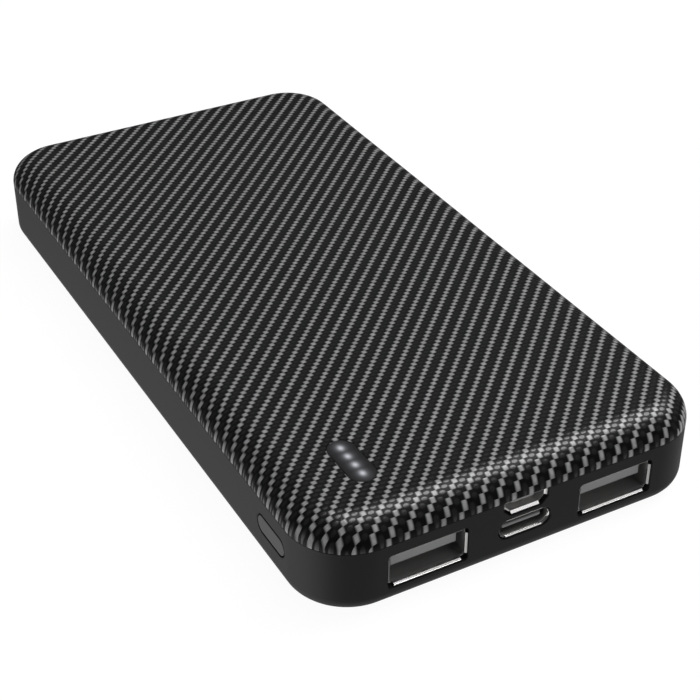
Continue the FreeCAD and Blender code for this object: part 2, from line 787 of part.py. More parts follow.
def usb_c_socket():
    """The small oval socket under the board, with a middle tongue that has contacts on both sides."""
    def section(sketch, grow):
        slot(sketch, "0", "usb_c_z", f"usb_c_width + 2 * ({grow})", f"usb_c_height + 2 * ({grow})")

    socket_shell("usb_c_shell", section, "usb_c_depth", "socket_sheet")
    socket_insulator("usb_c_tongue", section, "usb_c_depth", "socket_sheet",
                     ("0", "usb_c_z", "usb_c_tongue_width", "usb_c_tongue_thickness"), "usb_c_tongue_y")
    length = "socket_front + usb_c_depth - socket_sheet - socket_base_depth - usb_c_tongue_y - 2 * contact_gap"
    levels = ("usb_c_z + usb_c_tongue_thickness / 2",
              "usb_c_z - usb_c_tongue_thickness / 2 - contact_thickness")
    pins = []
    for row, level in enumerate(levels):
        for index in range(USB_C_PINS):
            left = (index - (USB_C_PINS - 1) / 2) * USB_C_PIN_PITCH - USB_C_PIN_WIDTH / 2
            pins.append(block(f"usb_c_pin_{row}_{index}", (left, "usb_c_tongue_y + contact_gap", level),
                              (USB_C_PIN_WIDTH, length, "contact_thickness")))
    group("usb_c_contacts", pins)


def micro_socket():
    """The small socket on top of the board, with a thin tongue near its wide side."""
    def section(sketch, grow):
        micro_outline(sketch, grow, f"micro_top + ({grow})")

    socket_shell("micro_usb_shell", section, "micro_depth", "micro_sheet", "micro_rounding")
    socket_insulator("micro_usb_tongue", section, "micro_depth", "micro_sheet",
                     ("0", "micro_tongue_z", "micro_tongue_width", "micro_tongue_thickness"), "micro_tongue_y")
    length = "socket_front + micro_depth - micro_sheet - socket_base_depth - micro_tongue_y - 2 * micro_contact_gap"
    bottom = "micro_tongue_z - micro_tongue_thickness / 2 - contact_thickness"
    group("micro_usb_contacts", [
        block(f"micro_pin_{index}",
              ((index - (MICRO_PINS - 1) / 2) * MICRO_PIN_PITCH - MICRO_PIN_WIDTH / 2,
               "micro_tongue_y + micro_contact_gap", bottom),
              (MICRO_PIN_WIDTH, length, "contact_thickness"))
        for index in range(MICRO_PINS)])


# Cell

def battery_cell():
    """The pouch cell with its folded front seal."""
    body = new_body("battery_cell")
    plan = new_sketch(body, "XY_Plane", "cell_bottom")
    rectangle(plan, "0", "cell_middle", "2 * cell_half_width", "cell_length")
    pouch = pad(body, plan, "cell_top - cell_bottom")
    names = [f"Edge{index}" for index in range(1, len(pouch.Shape.Edges) + 1)]
    round_edges(body, pouch, names, "cell_rounding")
    seal = new_sketch(body, "XY_Plane", "board_top - seal_height")
    rectangle(seal, "0", "cell_front - seal_depth / 2 + weld_bite / 2", "2 * (cell_half_width - seal_margin)",
              "seal_depth + weld_bite")
    pad(body, seal, "seal_height")


def cell_fittings():
    """The tabs that reach the board, the tape, the pads above and below, and the temperature sensor."""
    tab_front = "board_back - tab_overlap"
    group("battery_tabs", [
        block(f"tab_{side}", (f"{signed(sign, 'tab_spacing / 2')} - tab_width / 2", tab_front, "board_top"),
              ("tab_width", f"cell_front - ({tab_front})", "tab_thickness"))
        for side, sign in (("negative", -1), ("positive", 1))])
    node(centred_block("tape", "0", "cell_front + tape_from_front + tape_width / 2", "cell_top",
                       ("tape_length", "tape_width", "tape_thickness")), "insulating_tape")
    pad_size = ("2 * (cell_half_width - pad_margin / 2)", "cell_length - 2 * pad_margin")
    node(centred_block("foam", "0", "cell_middle", "cell_top", (*pad_size, "foam_thickness")), "foam_pad")
    node(centred_block("adhesive", "0", "cell_middle", "wall", (*pad_size, "adhesive_thickness")),
         "adhesive_pad")
    height = "board_top + tab_thickness + sensor_radius"
    bead_start = "cell_front - seal_depth + sensor_gap - sensor_length / 2"
    bead = rod("sensor_bead", ("0", bead_start, height), "sensor_radius", "sensor_length - 2 * sensor_gap",
               axis=(1, 0, 0), turn=-90)
    leads = [rod(f"sensor_lead_{name}",
                 (signed(sign, "sensor_lead_pitch / 2"), "board_back - sensor_lead_overlap", height),
                 "sensor_lead_radius", f"({bead_start}) + weld_bite - board_back + sensor_lead_overlap",
                 axis=(1, 0, 0), turn=-90)
             for name, sign in (("left", -1), ("right", 1))]
    node(fuse("sensor", [bead, *leads]), "temperature_sensor")


def check_document():
    """Stops if any object failed or any sub-part is empty or broken."""
    for item in doc.Objects:
        if "Invalid" in item.State or "Error" in item.State:
            raise ValueError(f"{item.Label} failed: {item.State}")
    for item in nodes:
        if item.Shape.isNull() or not item.Shape.isValid():
            raise ValueError(f"{item.Label} has no valid shape")


bottom_shell()
top_cover()
status_window()
light_shield()
power_button()
tact_switch()
circuit_board()
board_screws()
board_components()
for socket_side, socket_sign in (("left", -1), ("right", 1)):
    usb_a_socket(socket_side, socket_sign)
usb_c_socket()
micro_socket()
battery_cell()
cell_fittings()
doc.recompute()
check_document()

os.makedirs("parts", exist_ok=True)
for item in nodes:
    item.Shape.exportStep(os.path.join("parts", f"{item.Label}.step"))
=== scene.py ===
import json
import math

import bmesh
import bpy
from bpy.props import FloatProperty, FloatVectorProperty, IntProperty, PointerProperty
from mathutils import Matrix, Vector

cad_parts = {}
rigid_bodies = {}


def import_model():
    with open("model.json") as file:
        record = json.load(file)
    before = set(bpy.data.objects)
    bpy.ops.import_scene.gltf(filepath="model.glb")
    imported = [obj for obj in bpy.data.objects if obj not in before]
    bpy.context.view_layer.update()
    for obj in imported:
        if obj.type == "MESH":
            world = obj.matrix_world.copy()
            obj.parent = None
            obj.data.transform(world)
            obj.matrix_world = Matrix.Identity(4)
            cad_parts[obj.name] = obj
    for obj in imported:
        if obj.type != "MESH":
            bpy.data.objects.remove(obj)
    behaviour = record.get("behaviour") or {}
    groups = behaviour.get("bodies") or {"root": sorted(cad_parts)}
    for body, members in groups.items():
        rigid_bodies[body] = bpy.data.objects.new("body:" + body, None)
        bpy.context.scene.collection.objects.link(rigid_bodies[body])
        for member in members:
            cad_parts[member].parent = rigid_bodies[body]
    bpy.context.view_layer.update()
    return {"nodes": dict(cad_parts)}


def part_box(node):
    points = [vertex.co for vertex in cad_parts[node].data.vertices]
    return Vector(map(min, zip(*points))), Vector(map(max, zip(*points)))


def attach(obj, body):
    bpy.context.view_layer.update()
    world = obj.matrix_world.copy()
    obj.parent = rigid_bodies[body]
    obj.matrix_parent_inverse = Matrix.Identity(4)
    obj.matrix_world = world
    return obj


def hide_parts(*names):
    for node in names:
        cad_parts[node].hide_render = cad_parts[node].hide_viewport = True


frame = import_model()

bl_info = {
    "name": "Power bank",
    "version": (1, 0, 0),
    "blender": (4, 5, 0),
    "location": "3D View > Sidebar > Power bank",
    "description": "Gives a packed power bank its finished shells, sockets, key, window and studio",
    "category": "Add Mesh",
}

MM = 0.001

CASE_LOW, CASE_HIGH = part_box("bottom_shell")[0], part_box("top_cover")[1]
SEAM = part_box("bottom_shell")[1].z
HALF_WIDTH, HALF_LENGTH = CASE_HIGH.x, CASE_HIGH.y
FRONT = CASE_LOW.y

# Details that a user has no need to change
MOULD_CLOUD = 60.0            # slow clouds of tone in moulded plastic, per metre
DRAWING_LINES = 9000.0        # fine lines across a drawn can, per metre
WINDOW_HAZE = 900.0           # haze in the smoked window, per metre
TABLE_CLOUD = 30.0            # clouds of tone in the light table's sheet, per metre
MOUTH_DEPTH = 0.5 * MM        # from the front of the case, how far back plugs burnish the cans, and where the painted shade inside them starts
WORN_DEPTH = 0.9 * MM         # where the burnish has faded
INSIDE_DEPTH = 1.4 * MM       # where the inside of a can begins, and the painted shade there is full
PLATING = 0.92                # metallic value of clean plating
KEY_GAP = 0.15 * MM
KEY_FLANGE, KEY_FLANGE_DEPTH = 0.7 * MM, 0.8 * MM
KEY_FLANGE_INSET = 1.7 * MM   # from the key's face to the front of its flange
KEY_STEM = Vector((1.5 * MM, 0.5 * MM))
WINDOW_FLANGE, WINDOW_FLANGE_HEIGHT = 0.8 * MM, 0.6 * MM
WINDOW_GAP, WINDOW_BREAK = 0.04 * MM, 0.05 * MM
LIGHTS, LIGHT_WIDTH = 4, 0.8 * MM
SMOOTH_ANGLE, ROLLED_ANGLE = math.radians(32), math.radians(60)
MICRO_BASE = 0.68             # width of the micro socket's floor as a share of its top
TINY = 0.01 * MM
TABLE_EDGE = (-0.28, -0.5)    # heights between which the lit table fades in, in reflections
CARD_PLACE = Vector((-0.86, 0.05, -0.5)).normalized()
CARD_EDGE = (0.78, 0.95)      # cosines from the card's middle between which it fades in


# Colours and nodes

def linear(code):
    """The linear colour of an sRGB hex code."""
    parts = [int(code[place:place + 2], 16) / 255 for place in (1, 3, 5)]
    return [part / 12.92 if part <= 0.04045 else ((part + 0.055) / 1.055) ** 2.4 for part in parts]


def add_node(tree, kind, inputs=None, **settings):
    """Adds a node with its settings, and gives each input its number, colour or link."""
    node = tree.nodes.new(kind)
    for name, setting in settings.items():
        setattr(node, name, setting)
    for key, source in (inputs or {}).items():
        if isinstance(source, bpy.types.NodeSocket):
            tree.links.new(source, node.inputs[key])
        else:
            node.inputs[key].default_value = source
    return node


def follow(tree, known, steps):
    """Adds one maths node for each step of (name, operation, sources), and keeps what each gives by its name."""
    for name, operation, *sources in steps:
        inputs = {index: known.get(source, source) for index, source in enumerate(sources)}
        known[name] = add_node(tree, "ShaderNodeMath", inputs, operation=operation).outputs[0]


def toned(tree, shader, factor, colour, dark, light):
    """Lets the base colour wander between a darker and a lighter tone of the colour."""
    tone = add_node(tree, "ShaderNodeMix", {
        "Factor": factor, "A": (*(dark * part for part in colour), 1.0),
        "B": (*(min(light * part, 1.0) for part in colour), 1.0)}, data_type="RGBA")
    tree.links.new(tone.outputs["Result"], shader.inputs["Base Color"])
    return tone.outputs["Result"]


def new_material(name, **numbers):
    """A material with a Principled shader whose uniform numbers are set on its own sockets."""
    material = bpy.data.materials.new(name)
    material.use_nodes = True
    tree = material.node_tree
    shader = tree.nodes["Principled BSDF"]
    for socket, number in numbers.items():
        shader.inputs[socket.replace("_", " ")].default_value = number
    return material, tree, shader


def colour_property(name, code, description):
    """A colour that a user may change."""
    return FloatVectorProperty(name=name, description=description, subtype="COLOR", size=3, min=0.0, max=1.0,
                               default=linear(code))


def length_property(name, millimetres, description):
    """A length that a user may change, kept in metres."""
    return FloatProperty(name=name, description=description, default=millimetres * MM, min=0.0, precision=5,
                         unit="LENGTH", subtype="DISTANCE")


# Settings

class CaseSettings(bpy.types.PropertyGroup):
    """Sizes and colours of the tray and the cover."""
    corner_radius: length_property("Corner radius", 9.9, "Radius of the case's corners, seen from above")
    wall: length_property("Wall", 1.6, "Thickness of the moulded walls")
    bottom_rounding: length_property("Bottom rounding", 2.7, "Radius of the tray's lower edge")
    top_inset: length_property("Top rounding inset", 5.2, "How far the cover's rounding reaches in")
    seam_break: length_property("Seam edge break", 0.08, "Small rounding of the edges that meet at the seam")
    opening_break: length_property("Opening edge break", 0.12, "Small chamfer round each opening")
    opening_gap: length_property("Opening gap", 0.15, "Gap between a socket and its opening")
    corner_steps: IntProperty(name="Corner steps", description="Segments in each corner", default=28, min=4)
    edge_steps: IntProperty(name="Edge steps", description="Segments over each rounded edge", default=12, min=3)
    plastic: colour_property("Plastic", "#191919", "Colour of the moulded tray")
    grain: length_property("Mould grain", 0.09, "Width of the spark-eroded grain on the tray")


class WeaveSettings(bpy.types.PropertyGroup):
    """The twill on the cover."""
    cell: length_property("Cell", 0.745, "Width of one yarn in the twill")
    warp: colour_property("Warp", "#9c9c9c", "Colour of the light yarn where it lies on top")
    weft: colour_property("Weft", "#1e1e1f", "Colour of the dark yarn")
    relief: length_property("Relief", 0.02, "Height of the yarns above the gaps between them")
    phase_x: FloatProperty(name="Phase across", description="Shift of the pattern, in cells", default=0.554)
    phase_y: FloatProperty(name="Phase along", description="Shift of the pattern, in cells", default=0.232)


class SocketSettings(bpy.types.PropertyGroup):
    """The plated cans and their tongues."""
    sheet: length_property("Sheet", 0.25, "Thickness of the cans' sheet metal")
    lip_depth: length_property("Lip depth", 0.23, "How far back the flared lips start")
    lip_flare: length_property("Lip flare", 0.23, "How far the lips flare outwards")
    lip_gap: length_property("Lip corner gap", 0.95, "Length left free beside each corner of the large sockets")
    corner_recess: length_property("Corner recess", 0.45, "How far the large cans' corners lie behind the lips")
    small_lip_depth: length_property("Small lip depth", 0.36, "How far back the micro socket's lips start")
    small_lip_flare: length_property("Small lip flare", 0.32, "How far the micro socket's lips flare outwards")
    small_lip_gap: length_property("Small lip corner gap", 0.1, "Length left free beside its corners")
    steel: colour_property("Plating", "#d4d3d2", "Colour of the nickel plating")
    tongue: colour_property("Tongue", "#989898", "Colour of the large sockets' tongues")


class WindowSettings(bpy.types.PropertyGroup):
    """The smoked window, its lights and the press key."""
    smoke: colour_property("Smoke", "#232324", "Colour of the smoked window")
    glow: colour_property("Glow", "#f4f6ff", "Colour of the lit status lights")
    core: length_property("Core radius", 0.44, "Radius of each light's bright core")
    halo: length_property("Halo radius", 1.0, "Radius of the soft halo round each light")
    strength: FloatProperty(name="Brightness", description="Brightness of the lights", default=0.6, min=0.0)
    key: colour_property("Key", "#2b2b2c", "Colour of the press key")
    key_edge: length_property("Key edge", 0.22, "Rounding of the key's outer edge")


class StudioSettings(bpy.types.PropertyGroup):
    """Camera, floor and lights."""
    azimuth: FloatProperty(name="Azimuth", description="Camera's turn about the upright", subtype="ANGLE",
                           default=math.radians(-28.82))
    elevation: FloatProperty(name="Elevation", description="Camera's height above the level", subtype="ANGLE",
                             default=math.radians(34.12))
    distance: FloatProperty(name="Distance", description="From the aim point to the camera", unit="LENGTH",
                            default=0.2834)
    aim: FloatVectorProperty(name="Aim", description="Point in the middle of the view", subtype="TRANSLATION",
                             default=(0.00523, -0.00467, -0.00225))
    lens: FloatProperty(name="Lens", description="Focal length in millimetres", default=81.06)
    floor: colour_property("Floor", "#484848", "Colour of the light table's sheet where it is off")
    room: FloatProperty(name="Room", description="Brightness of the room above the table", default=0.045, min=0.0)
    table_glow: FloatProperty(name="Table glow", description="Brightness of the table in reflections",
                              default=0.5, min=0.0)
    card_glow: FloatProperty(name="Card glow", description="Brightness of the white card at the left",
                             default=0.9, min=0.0)


class PowerBankSettings(bpy.types.PropertyGroup):
    """Everything that a user may change."""
    case: PointerProperty(type=CaseSettings)
    weave: PointerProperty(type=WeaveSettings)
    sockets: PointerProperty(type=SocketSettings)
    window: PointerProperty(type=WindowSettings)
    studio: PointerProperty(type=StudioSettings)


# Outlines and meshes

def rectangle(low, high):
    """The corners of a rectangle, anticlockwise."""
    return [Vector((low[0], low[1])), Vector((high[0], low[1])), Vector((high[0], high[1])),
            Vector((low[0], high[1]))]


def side_normal(start, end):
    """The outward normal of one side of an anticlockwise outline."""
    along = (end - start).normalized()
    return Vector((along.y, -along.x))


def moved_out(corners, grow):
    """The corners of the outline with each side moved out."""
    result = []
    for index, corner in enumerate(corners):
        before = side_normal(corners[index - 1], corner)
        after = side_normal(corner, corners[(index + 1) % len(corners)])
        result.append(corner + (before + after) * grow / (1 + before.dot(after)))
    return result


def rounded(corners, radius, steps):
    """The outline's points, with an arc at each corner."""
    points = []
    for index, corner in enumerate(corners):
        back = (corners[index - 1] - corner).normalized()
        ahead = (corners[(index + 1) % len(corners)] - corner).normalized()
        turn = math.pi - back.angle(ahead)
        centre = corner + (back + ahead).normalized() * radius / math.cos(turn / 2)
        start = corner + back * radius * math.tan(turn / 2) - centre
        for step in range(steps + 1):
            angle = turn * step / steps
            spoke = Vector((start.x * math.cos(angle) - start.y * math.sin(angle),
                            start.x * math.sin(angle) + start.y * math.cos(angle)))
            points.append(centre + spoke)
    spaced = [point for index, point in enumerate(points) if (point - points[index - 1]).length > 1e-7]
    return spaced


def skin(build, corners, radius, stations, place, steps):
    """A closed surface through one rounded outline for each station of (growth, level)."""
    rings = []
    for grow, level in stations:
        ring = rounded(moved_out(corners, grow), max(radius + grow, TINY), steps)
        rings.append([build.verts.new(place(point.x, point.y, level)) for point in ring])
    for lower, upper in zip(rings, rings[1:]):
        for index in range(len(lower)):
            build.faces.new((lower[index - 1], lower[index], upper[index], upper[index - 1]))
    build.faces.new(rings[0])
    build.faces.new(rings[-1])


def bar(build, start, end, profile, place):
    """A closed bar along one side of an outline, whose profile points are (outward offset, level)."""
    outward = side_normal(start, end)
    rings = []
    for point in (start, end):
        places = [point + outward * offset for offset, _ in profile]
        rings.append([build.verts.new(place(spot.x, spot.y, level))
                      for spot, (_, level) in zip(places, profile)])
    for index in range(len(profile)):
        build.faces.new((rings[0][index - 1], rings[0][index], rings[1][index], rings[1][index - 1]))
    build.faces.new(rings[0])
    build.faces.new(rings[1])


def upright(u, v, level):
    """Places an outline drawn in plan at a height."""
    return (u, v, level)


def lengthwise(u, v, level):
    """Places an outline drawn across the case at a distance along it."""
    return (u, level, v)


def sideways(u, v, level):
    """Places an outline drawn on the long side at a distance across the case."""
    return (level, u, v)


def make_object(name, build):
    """An object from a finished bmesh, with its faces turned outwards."""
    bmesh.ops.recalc_face_normals(build, faces=build.faces)
    mesh = bpy.data.meshes.new(name)
    build.to_mesh(mesh)
    build.free()
    piece = bpy.data.objects.new(name, mesh)
    bpy.context.scene.collection.objects.link(piece)
    return piece


def set_mesh_from_modifiers(piece):
    """Replaces the piece's mesh by what its modifiers give."""
    graph = bpy.context.evaluated_depsgraph_get()
    mesh = bpy.data.meshes.new_from_object(piece.evaluated_get(graph))
    piece.modifiers.clear()
    piece.data = mesh


def smooth(piece, angle=SMOOTH_ANGLE):
    """Smooth shading with crisp edges, and normals led by the large faces."""
    for face in piece.data.polygons:
        face.use_smooth = True
    piece.data.set_sharp_from_angle(angle=angle)
    weights = piece.modifiers.new("weighted normals", "WEIGHTED_NORMAL")
    weights.keep_sharp = True
    weights.weight = 100
    set_mesh_from_modifiers(piece)


def cut_openings(piece, build):
    """Cuts every closed skin of the bmesh out of the piece."""
    cutter = make_object(f"{piece.name}_openings", build)
    cut = piece.modifiers.new("openings", "BOOLEAN")
    cut.operation = "DIFFERENCE"
    cut.solver = "EXACT"
    cut.object = cutter
    set_mesh_from_modifiers(piece)
    bpy.data.objects.remove(cutter, do_unlink=True)


def arc_stations(centre, reach, start, end, steps):
    """Stations along a quarter of an ellipse, given as (growth, level) about a centre."""
    stations = []
    for step in range(steps + 1):
        angle = math.radians(start + (end - start) * step / steps)
        stations.append((centre[0] + reach[0] * math.cos(angle), centre[1] + reach[1] * math.sin(angle)))
    return stations


def finish(piece, material, body, slot, *nodes):
    """Gives a new piece its material and its body, and hides the nodes that it stands for. slot is not used."""
    piece.data.materials.clear()
    piece.data.materials.append(material)
    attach(piece, body)
    if nodes:
        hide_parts(*nodes)


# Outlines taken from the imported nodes

def case_corners():
    """The case's plan."""
    return rectangle((-HALF_WIDTH, -HALF_LENGTH), (HALF_WIDTH, HALF_LENGTH))


def front_corners(node):
    """A node's rectangle, seen from the front."""
    low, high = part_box(node)
    return rectangle((low.x, low.z), (high.x, high.z))


def micro_corners():
    """The micro socket's six corners, seen from the front, wide above and narrow below."""
    low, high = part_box("micro_usb_shell")
    base = MICRO_BASE * high.x
    shoulder = low.z + (high.x - base)
    return [Vector(point) for point in ((-base, low.z), (base, low.z), (high.x, shoulder), (high.x, high.z),
                                        (-high.x, high.z), (-high.x, shoulder))]


# Materials

def moulded_abs(name, colour, roughness, grain, level=0.5):
    """Black ABS from a spark-eroded mould: a dense matte skin whose fine grain softens every reflection."""
    material, tree, shader = new_material(name, Roughness=roughness, Specular_IOR_Level=level, IOR=1.5)
    place = add_node(tree, "ShaderNodeTexCoord").outputs["Object"]
    pits = add_node(tree, "ShaderNodeTexNoise", {"Vector": place, "Scale": 1 / grain, "Detail": 3.0})
    cloud = add_node(tree, "ShaderNodeTexNoise", {"Vector": place, "Scale": MOULD_CLOUD, "Detail": 2.0})
    toned(tree, shader, cloud.outputs["Fac"], colour, 0.9, 1.1)
    gloss = add_node(tree, "ShaderNodeMapRange", {
        "Value": pits.outputs["Fac"], "To Min": roughness - 0.06, "To Max": roughness + 0.06})
    tree.links.new(gloss.outputs["Result"], shader.inputs["Roughness"])
    bump = add_node(tree, "ShaderNodeBump", {"Height": pits.outputs["Fac"], "Distance": 0.012 * MM,
                                             "Strength": 0.5})
    tree.links.new(bump.outputs["Normal"], shader.inputs["Normal"])
    return material


def woven_film(settings):
    """Twill-woven film moulded over the cover: light warp yarns cross a dark weft on every fourth cell.
    The eye sees light diagonal rows of soft beads, and between them dark crowns with matte gaps; the black of the
    gaps and the darker edges of the beads are painted shade."""
    material, tree, shader = new_material("twill woven film moulded over ABS", Roughness=0.5, IOR=1.5,
                                          Specular_IOR_Level=0.1, Coat_Roughness=0.27, Coat_IOR=1.5)
    place = add_node(tree, "ShaderNodeTexCoord").outputs["Object"]
    axes = add_node(tree, "ShaderNodeSeparateXYZ", {"Vector": place})
    known = {"x": axes.outputs["X"], "y": axes.outputs["Y"]}
    cells = 1 / settings.cell
    repeat, warp_middle, weft_middle = 4.0, 0.58, 2.1
    warp_half, weft_half, weft_shift = 0.68, 0.8, 0.38
    steps = (
        ("across", "MULTIPLY_ADD", "x", cells, settings.phase_x),
        ("along", "MULTIPLY_ADD", "y", cells, settings.phase_y),
        # The light yarn: its place in the run of four cells, and across its own row
        ("row", "FLOOR", "along"),
        ("run", "SUBTRACT", "across", "row"),
        ("run_from_middle", "ADD", "run", repeat / 2 - warp_middle),
        ("run_place", "FLOORED_MODULO", "run_from_middle", repeat),
        ("warp_u", "SUBTRACT", "run_place", repeat / 2),
        ("warp_part", "MULTIPLY", "warp_u", 1 / warp_half),
        ("warp_far", "ABSOLUTE", "warp_part"),
        ("v", "SUBTRACT", "along", "row"),
        ("v_middle", "MULTIPLY_ADD", "v", 2.0, -1.0),
        ("v_far", "ABSOLUTE", "v_middle"),
        ("v_far_4", "POWER", "v_far", 4.0),
        ("v_round", "SUBTRACT", 1.0, "v_far_4"),
        ("warp_far_2", "POWER", "warp_far", 2.0),
        ("warp_dome", "SUBTRACT", 1.0, "warp_far_2"),
        ("warp_top", "MAXIMUM", "warp_dome", 0.0),
        ("warp_height", "MULTIPLY", "warp_top", "v_round"),
        # The dark yarn's crown lies a little lower, between two rows
        ("weft_along", "ADD", "along", weft_shift),
        ("weft_row", "FLOOR", "weft_along"),
        ("weft_run", "SUBTRACT", "across", "weft_row"),
        ("weft_from_middle", "ADD", "weft_run", repeat / 2 - weft_middle),
        ("weft_place", "FLOORED_MODULO", "weft_from_middle", repeat),
        ("weft_u", "SUBTRACT", "weft_place", repeat / 2),
        ("weft_part", "MULTIPLY", "weft_u", 1 / weft_half),
        ("weft_part_2", "MULTIPLY", "weft_part", "weft_part"),
        ("weft_v", "SUBTRACT", "weft_along", "weft_row"),
        ("weft_v_middle", "MULTIPLY_ADD", "weft_v", 2.0, -1.0),
        ("weft_far_2", "MULTIPLY_ADD", "weft_v_middle", "weft_v_middle", "weft_part_2"),
        ("weft_dome", "SUBTRACT", 1.0, "weft_far_2"),
        ("weft_height", "MAXIMUM", "weft_dome", 0.0),
    )
    follow(tree, known, steps)

    def ramp(value, start, end, low=0.0, high=1.0):
        """A soft step between two values."""
        return add_node(tree, "ShaderNodeMapRange", {
            "Value": value, "From Min": start, "From Max": end, "To Min": low, "To Max": high},
            interpolation_type="SMOOTHSTEP").outputs["Result"]

    def product(first, second):
        """Two numbers multiplied."""
        return add_node(tree, "ShaderNodeMath", {0: first, 1: second}, operation="MULTIPLY").outputs[0]

    fibres = add_node(tree, "ShaderNodeTexNoise", {"Vector": place, "Scale": 0.8 / settings.cell, "Detail": 3.0})
    uneven = ramp(fibres.outputs["Fac"], 0.25, 0.75, 0.82, 1.18)
    warp = ramp(known["warp_far"], 1.12, 0.35)
    crown = ramp(known["weft_height"], 0.05, 0.75)
    # Painted shade: each light bead darkens towards its edges, and the dark yarn darkens to a third of its colour
    # in the gaps between crowns, where shade falls.
    warp_painted_shade = product(product(ramp(known["v_far"], 0.55, 1.0, 1.0, 0.78), uneven),
                         ramp(known["warp_far"], 0.2, 0.9, 1.0, 0.8))
    weft_painted_shade = product(ramp(known["weft_height"], 0.05, 0.8, 0.3, 1.0), uneven)
    yarns = [add_node(tree, "ShaderNodeVectorMath", {0: tuple(colour), "Scale": light}, operation="SCALE")
             for colour, light in ((settings.weft, weft_painted_shade), (settings.warp, warp_painted_shade))]
    cloth = add_node(tree, "ShaderNodeMix", {
        "Factor": warp, "A": yarns[0].outputs[0], "B": yarns[1].outputs[0]}, data_type="RGBA")
    tree.links.new(cloth.outputs["Result"], shader.inputs["Base Color"])
    height = add_node(tree, "ShaderNodeMath", {0: known["warp_height"], 1: known["weft_height"]},
                      operation="MAXIMUM").outputs[0]
    shine = add_node(tree, "ShaderNodeMath", {0: warp, 1: crown}, operation="MAXIMUM").outputs[0]
    tree.links.new(ramp(shine, 0.0, 0.8, 0.12, 1.0), shader.inputs["Coat Weight"])
    tree.links.new(ramp(fibres.outputs["Fac"], 0.3, 0.7, 0.46, 0.56), shader.inputs["Roughness"])
    bump = add_node(tree, "ShaderNodeBump", {"Height": height, "Distance": settings.relief, "Strength": 1.0})
    for socket in ("Normal", "Coat Normal"):
        tree.links.new(bump.outputs["Normal"], shader.inputs[socket])
    return material


def smoked_window(settings):
    """Smoked polycarbonate, satin outside and frosted behind: each light behind it blooms into a soft spot."""
    material, tree, shader = new_material("smoked polycarbonate window", Roughness=0.3, IOR=1.58,
                                          Specular_IOR_Level=0.3)
    low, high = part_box("status_lights")
    middle = (low + high) / 2
    pitch = (high.y - low.y - LIGHT_WIDTH) / (LIGHTS - 1)
    place = add_node(tree, "ShaderNodeTexCoord").outputs["Object"]
    axes = add_node(tree, "ShaderNodeSeparateXYZ", {"Vector": place})
    known = {"x": axes.outputs["X"], "y": axes.outputs["Y"]}
    end = (LIGHTS - 1) / 2
    steps = (
        ("beside", "SUBTRACT", "x", middle.x),
        ("along", "SUBTRACT", "y", middle.y),
        ("count", "DIVIDE", "along", pitch),
        ("whole", "FLOOR", "count"),
        ("near", "ADD", "whole", 0.5),
        ("near_low", "MAXIMUM", "near", -end),
        ("near_light", "MINIMUM", "near_low", end),
        ("offset", "MULTIPLY", "near_light", pitch),
        ("away", "SUBTRACT", "along", "offset"),
        ("away_part", "MULTIPLY", "away", 0.78),
        ("away_squared", "MULTIPLY", "away_part", "away_part"),
        ("squared", "MULTIPLY_ADD", "beside", "beside", "away_squared"),
        ("core_power", "MULTIPLY", "squared", -1 / settings.core ** 2),
        ("core", "EXPONENT", "core_power"),
        ("halo_power", "MULTIPLY", "squared", -1 / settings.halo ** 2),
        ("halo", "EXPONENT", "halo_power"),
        ("soft_halo", "MULTIPLY", "halo", 0.18),
        ("bloom", "MULTIPLY_ADD", "core", 0.82, "soft_halo"),
        ("strength", "MULTIPLY", "bloom", settings.strength),
    )
    follow(tree, known, steps)
    shader.inputs["Emission Color"].default_value = (*settings.glow, 1.0)
    tree.links.new(known["strength"], shader.inputs["Emission Strength"])
    haze = add_node(tree, "ShaderNodeTexNoise", {"Vector": place, "Scale": WINDOW_HAZE, "Detail": 2.0})
    toned(tree, shader, haze.outputs["Fac"], settings.smoke, 0.92, 1.08)
    return material


def plated_steel(name, colour, inside, inner_metal=PLATING):
    """Deep-drawn steel sheet with nickel plating: plugs have burnished the lips bright, and behind them the
    sheet is still satin, with faint drawing lines along its depth. Further in, the colour is darkened by painted
    shade, so the eye sees a bright line round a grey mouth. inside is how much of the colour the painted shade
    leaves there, and inner_metal how metallic it is there."""
    material, tree, shader = new_material(name)
    place = add_node(tree, "ShaderNodeTexCoord").outputs["Object"]
    depth = add_node(tree, "ShaderNodeSeparateXYZ", {"Vector": place}).outputs["Y"]
    drawn = add_node(tree, "ShaderNodeMapping", {"Vector": place, "Scale": (1.0, 0.06, 1.0)})
    lines = add_node(tree, "ShaderNodeTexNoise", {"Vector": drawn.outputs["Vector"], "Scale": DRAWING_LINES,
                                                  "Detail": 2.0})
    worn = add_node(tree, "ShaderNodeMapRange", {
        "Value": depth, "From Min": FRONT + MOUTH_DEPTH, "From Max": FRONT + WORN_DEPTH, "To Min": 0.16,
        "To Max": 0.5})
    gloss = add_node(tree, "ShaderNodeMath", {0: lines.outputs["Fac"], 1: 0.01, 2: worn.outputs["Result"]},
                     operation="MULTIPLY_ADD")
    tree.links.new(gloss.outputs[0], shader.inputs["Roughness"])
    tone = toned(tree, shader, lines.outputs["Fac"], colour, 0.98, 1.0)
    # Painted shade: from the mouth to the inside depth the colour falls to inside, as shade falls deep in the
    # can; the metallic value falls to inner_metal.
    depth_painted_shade, metal = (add_node(tree, "ShaderNodeMapRange", {
        "Value": depth, "From Min": FRONT + MOUTH_DEPTH, "From Max": FRONT + INSIDE_DEPTH, "To Min": mouth,
        "To Max": back}).outputs["Result"] for mouth, back in ((1.0, inside), (PLATING, inner_metal)))
    depth_shaded_colour = add_node(tree, "ShaderNodeVectorMath", {0: tone, "Scale": depth_painted_shade}, operation="SCALE")
    tree.links.new(depth_shaded_colour.outputs[0], shader.inputs["Base Color"])
    tree.links.new(metal, shader.inputs["Metallic"])
    return material


